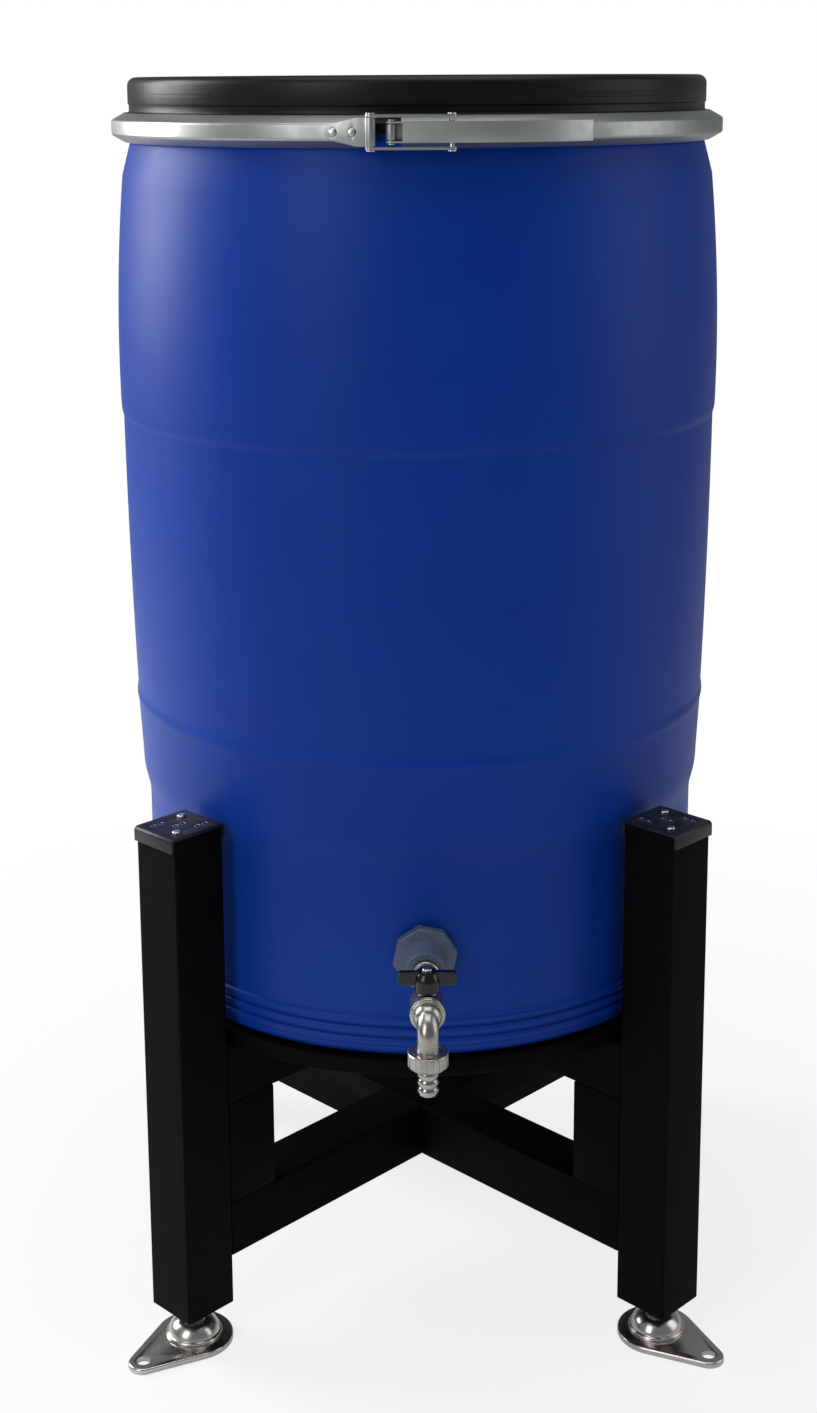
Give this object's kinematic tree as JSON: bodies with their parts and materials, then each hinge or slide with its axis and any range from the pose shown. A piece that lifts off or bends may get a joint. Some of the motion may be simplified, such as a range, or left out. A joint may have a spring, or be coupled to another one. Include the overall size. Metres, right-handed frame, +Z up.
{
  "type": "rainwater tank",
  "caption": "Rainwater tank: open-top drum with lid and lever clamp ring, ball tap with hose tail, on a post stand with adjustable bolt-down feet.",
  "frame": {"origin": "on the floor, at the middle of the four foot lug holes and under the drum's axis", "axes": "+Z up along the drum's axis; -Y is the front, where the tap and the ring's lever are; +X is to the right seen from the front"},
  "size_m": [0.6059, 0.7501, 1.2425],
  "materials": {
    "drum": "satin blow-moulded polyethylene",
    "lid": "semi-gloss moulded polyethylene",
    "seal": "matt",
    "ring_steel": "satin galvanised",
    "rivet_steel": "bright",
    "connector_plastic": "satin",
    "tap_brass": "nickel plated, satin",
    "ball_chrome": "polished",
    "seat_plastic": "smooth",
    "handle_plastic": "satin",
    "stand_plastic": "fine-grained, matt",
    "cap_metal": "satin powder coat",
    "foot_steel": "polished stainless"
  },
  "bodies": {
    "tank": {"drum_shell": "drum", "drum_lid": "lid", "lid_gasket": "seal", "clamp_ring": "ring_steel", "hook_bracket": "ring_steel", "lever_bracket": "ring_steel", "ring_rivets": "rivet_steel", "hook_pin": "rivet_steel", "lever_pin": "rivet_steel", "tank_connector": "connector_plastic", "connector_gasket": "seal", "inner_gasket": "seal", "back_nut": "connector_plastic", "tap_body": "tap_brass", "ball_seats": "seat_plastic", "packing_nut": "tap_brass", "tap_spout": "tap_brass", "union_nut": "tap_brass", "hose_washer": "seal", "hose_tail": "tap_brass", "base_board": "stand_plastic", "board_screws": "rivet_steel", "cap_screws": "rivet_steel", "lower_beam_long": "stand_plastic", "lower_beam_cross": "stand_plastic", "upper_beam_long": "stand_plastic", "upper_beam_cross": "stand_plastic", "foot_inserts": "foot_steel", "rear_right_post": "stand_plastic", "rear_left_post": "stand_plastic", "front_left_post": "stand_plastic", "front_right_post": "stand_plastic", "rear_right_cap": "cap_metal", "rear_left_cap": "cap_metal", "front_left_cap": "cap_metal", "front_right_cap": "cap_metal"},
    "lever": {"clamp_lever": "ring_steel"},
    "links": {"link_bar_upper": "ring_steel", "link_bar_lower": "ring_steel", "link_pin": "rivet_steel", "link_end_rivets": "rivet_steel"},
    "tap turner": {"tap_ball": "ball_chrome", "tap_spindle": "tap_brass", "tap_handle": "handle_plastic", "handle_screw": "rivet_steel"},
    "rear right stud": {"rear_right_foot_stud": "foot_steel", "rear_right_lock_nut": "foot_steel"},
    "rear right plate": {"rear_right_foot_plate": "foot_steel"},
    "rear left stud": {"rear_left_foot_stud": "foot_steel", "rear_left_lock_nut": "foot_steel"},
    "rear left plate": {"rear_left_foot_plate": "foot_steel"},
    "front left stud": {"front_left_foot_stud": "foot_steel", "front_left_lock_nut": "foot_steel"},
    "front left plate": {"front_left_foot_plate": "foot_steel"},
    "front right stud": {"front_right_foot_stud": "foot_steel", "front_right_lock_nut": "foot_steel"},
    "front right plate": {"front_right_foot_plate": "foot_steel"}
  },
  "joints": [
    {"name": "clamp_lever_swing", "type": "hinge", "parent": "tank", "child": "lever", "pos_m": [-0.02636, -0.30747, 1.1945], "axis": [0, 0, -1], "range_deg": [0, 150]},
    {"name": "link_swing", "type": "hinge", "parent": "lever", "child": "links", "pos_m": [0.02556, -0.30754, 1.1945], "axis": [0, 0, -1], "range_deg": [-150, 0]},
    {"name": "tap_handle_turn", "type": "hinge", "parent": "tank", "child": "tap turner", "pos_m": [0, -0.398, 0.435], "axis": [0, 0, 1], "range_deg": [0, 90]},
    {"name": "rear_right_foot_height", "type": "slide", "parent": "tank", "child": "rear right stud", "axis": [0, 0, -1], "range_m": [0, 0.025]},
    {"name": "rear_right_foot_swivel", "type": "hinge", "parent": "rear right stud", "child": "rear right plate", "pos_m": [0.23264, 0.23264, 0.0145], "axis": [0, 0, 1], "continuous": true},
    {"name": "rear_left_foot_height", "type": "slide", "parent": "tank", "child": "rear left stud", "axis": [0, 0, -1], "range_m": [0, 0.025]},
    {"name": "rear_left_foot_swivel", "type": "hinge", "parent": "rear left stud", "child": "rear left plate", "pos_m": [-0.23264, 0.23264, 0.0145], "axis": [0, 0, 1], "continuous": true},
    {"name": "front_left_foot_height", "type": "slide", "parent": "tank", "child": "front left stud", "axis": [0, 0, -1], "range_m": [0, 0.025]},
    {"name": "front_left_foot_swivel", "type": "hinge", "parent": "front left stud", "child": "front left plate", "pos_m": [-0.23264, -0.23264, 0.0145], "axis": [0, 0, 1], "continuous": true},
    {"name": "front_right_foot_height", "type": "slide", "parent": "tank", "child": "front right stud", "axis": [0, 0, -1], "range_m": [0, 0.025]},
    {"name": "front_right_foot_swivel", "type": "hinge", "parent": "front right stud", "child": "front right plate", "pos_m": [0.23264, -0.23264, 0.0145], "axis": [0, 0, 1], "continuous": true}
  ],
  "couplings": [
    {"joint": "link_swing", "follows": "clamp_lever_swing", "ratio": -1}
  ]
}
